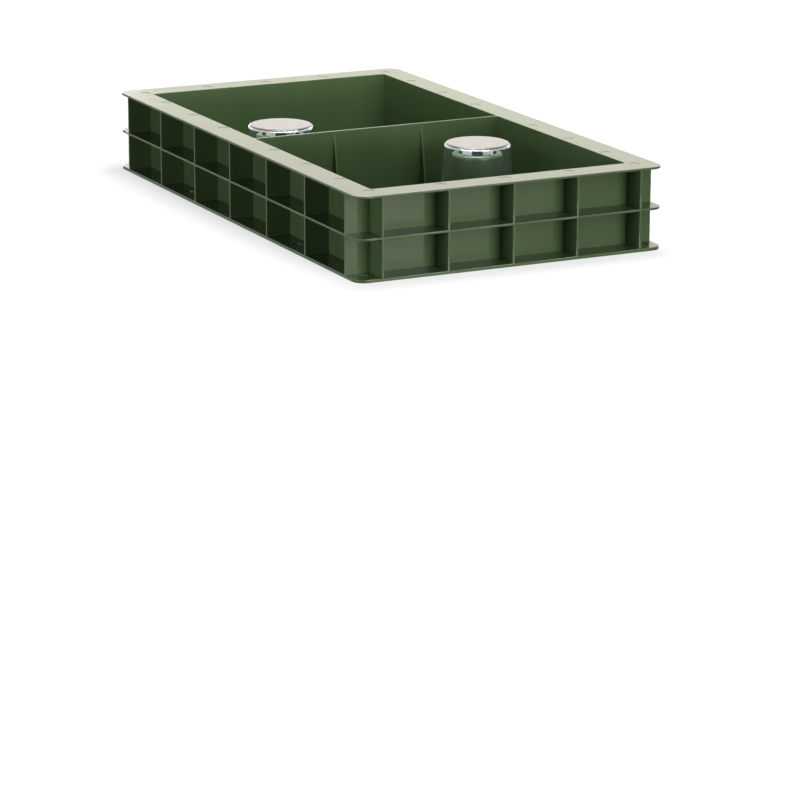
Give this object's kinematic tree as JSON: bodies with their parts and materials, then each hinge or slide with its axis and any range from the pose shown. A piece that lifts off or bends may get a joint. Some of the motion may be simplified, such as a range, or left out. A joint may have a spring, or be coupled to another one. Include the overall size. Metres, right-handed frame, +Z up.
{
  "type": "hive top feeder",
  "caption": "Ribbed plastic feeder tray for the top of a hive, with a divider, a floor, chimneys for the bees and clear lift-off cups over them.",
  "frame": {"origin": "centre of the feeder's footprint, on the rest face under the bottom flange", "axes": "+Z up, +Y along the feeder from its front end to its rear end, +X across it to the right"},
  "size_m": [0.282, 0.5, 0.0705],
  "materials": {
    "tray_plastic": "satin moulded",
    "cup_plastic": "clear polished"
  },
  "bodies": {
    "tray": {"front_floor": "tray_plastic", "rear_floor": "tray_plastic", "left_wall": "tray_plastic", "right_wall": "tray_plastic", "front_wall": "tray_plastic", "rear_wall": "tray_plastic", "top_rim": "tray_plastic", "middle_flange": "tray_plastic", "bottom_flange": "tray_plastic", "left_ribs": "tray_plastic", "right_ribs": "tray_plastic", "front_ribs": "tray_plastic", "rear_ribs": "tray_plastic", "divider_wall": "tray_plastic", "divider_gussets": "tray_plastic", "front_chimney": "tray_plastic", "rear_chimney": "tray_plastic"},
    "front_cup": {"front_cup_shell": "cup_plastic", "front_cup_lugs": "cup_plastic"},
    "rear_cup": {"rear_cup_shell": "cup_plastic", "rear_cup_lugs": "cup_plastic"}
  },
  "joints": [
    {"name": "front_cup_lift", "type": "slide", "parent": "tray", "child": "front_cup", "axis": [0, 0, 1], "range_m": [0, 0.08]},
    {"name": "rear_cup_lift", "type": "slide", "parent": "tray", "child": "rear_cup", "axis": [0, 0, 1], "range_m": [0, 0.08]}
  ]
}
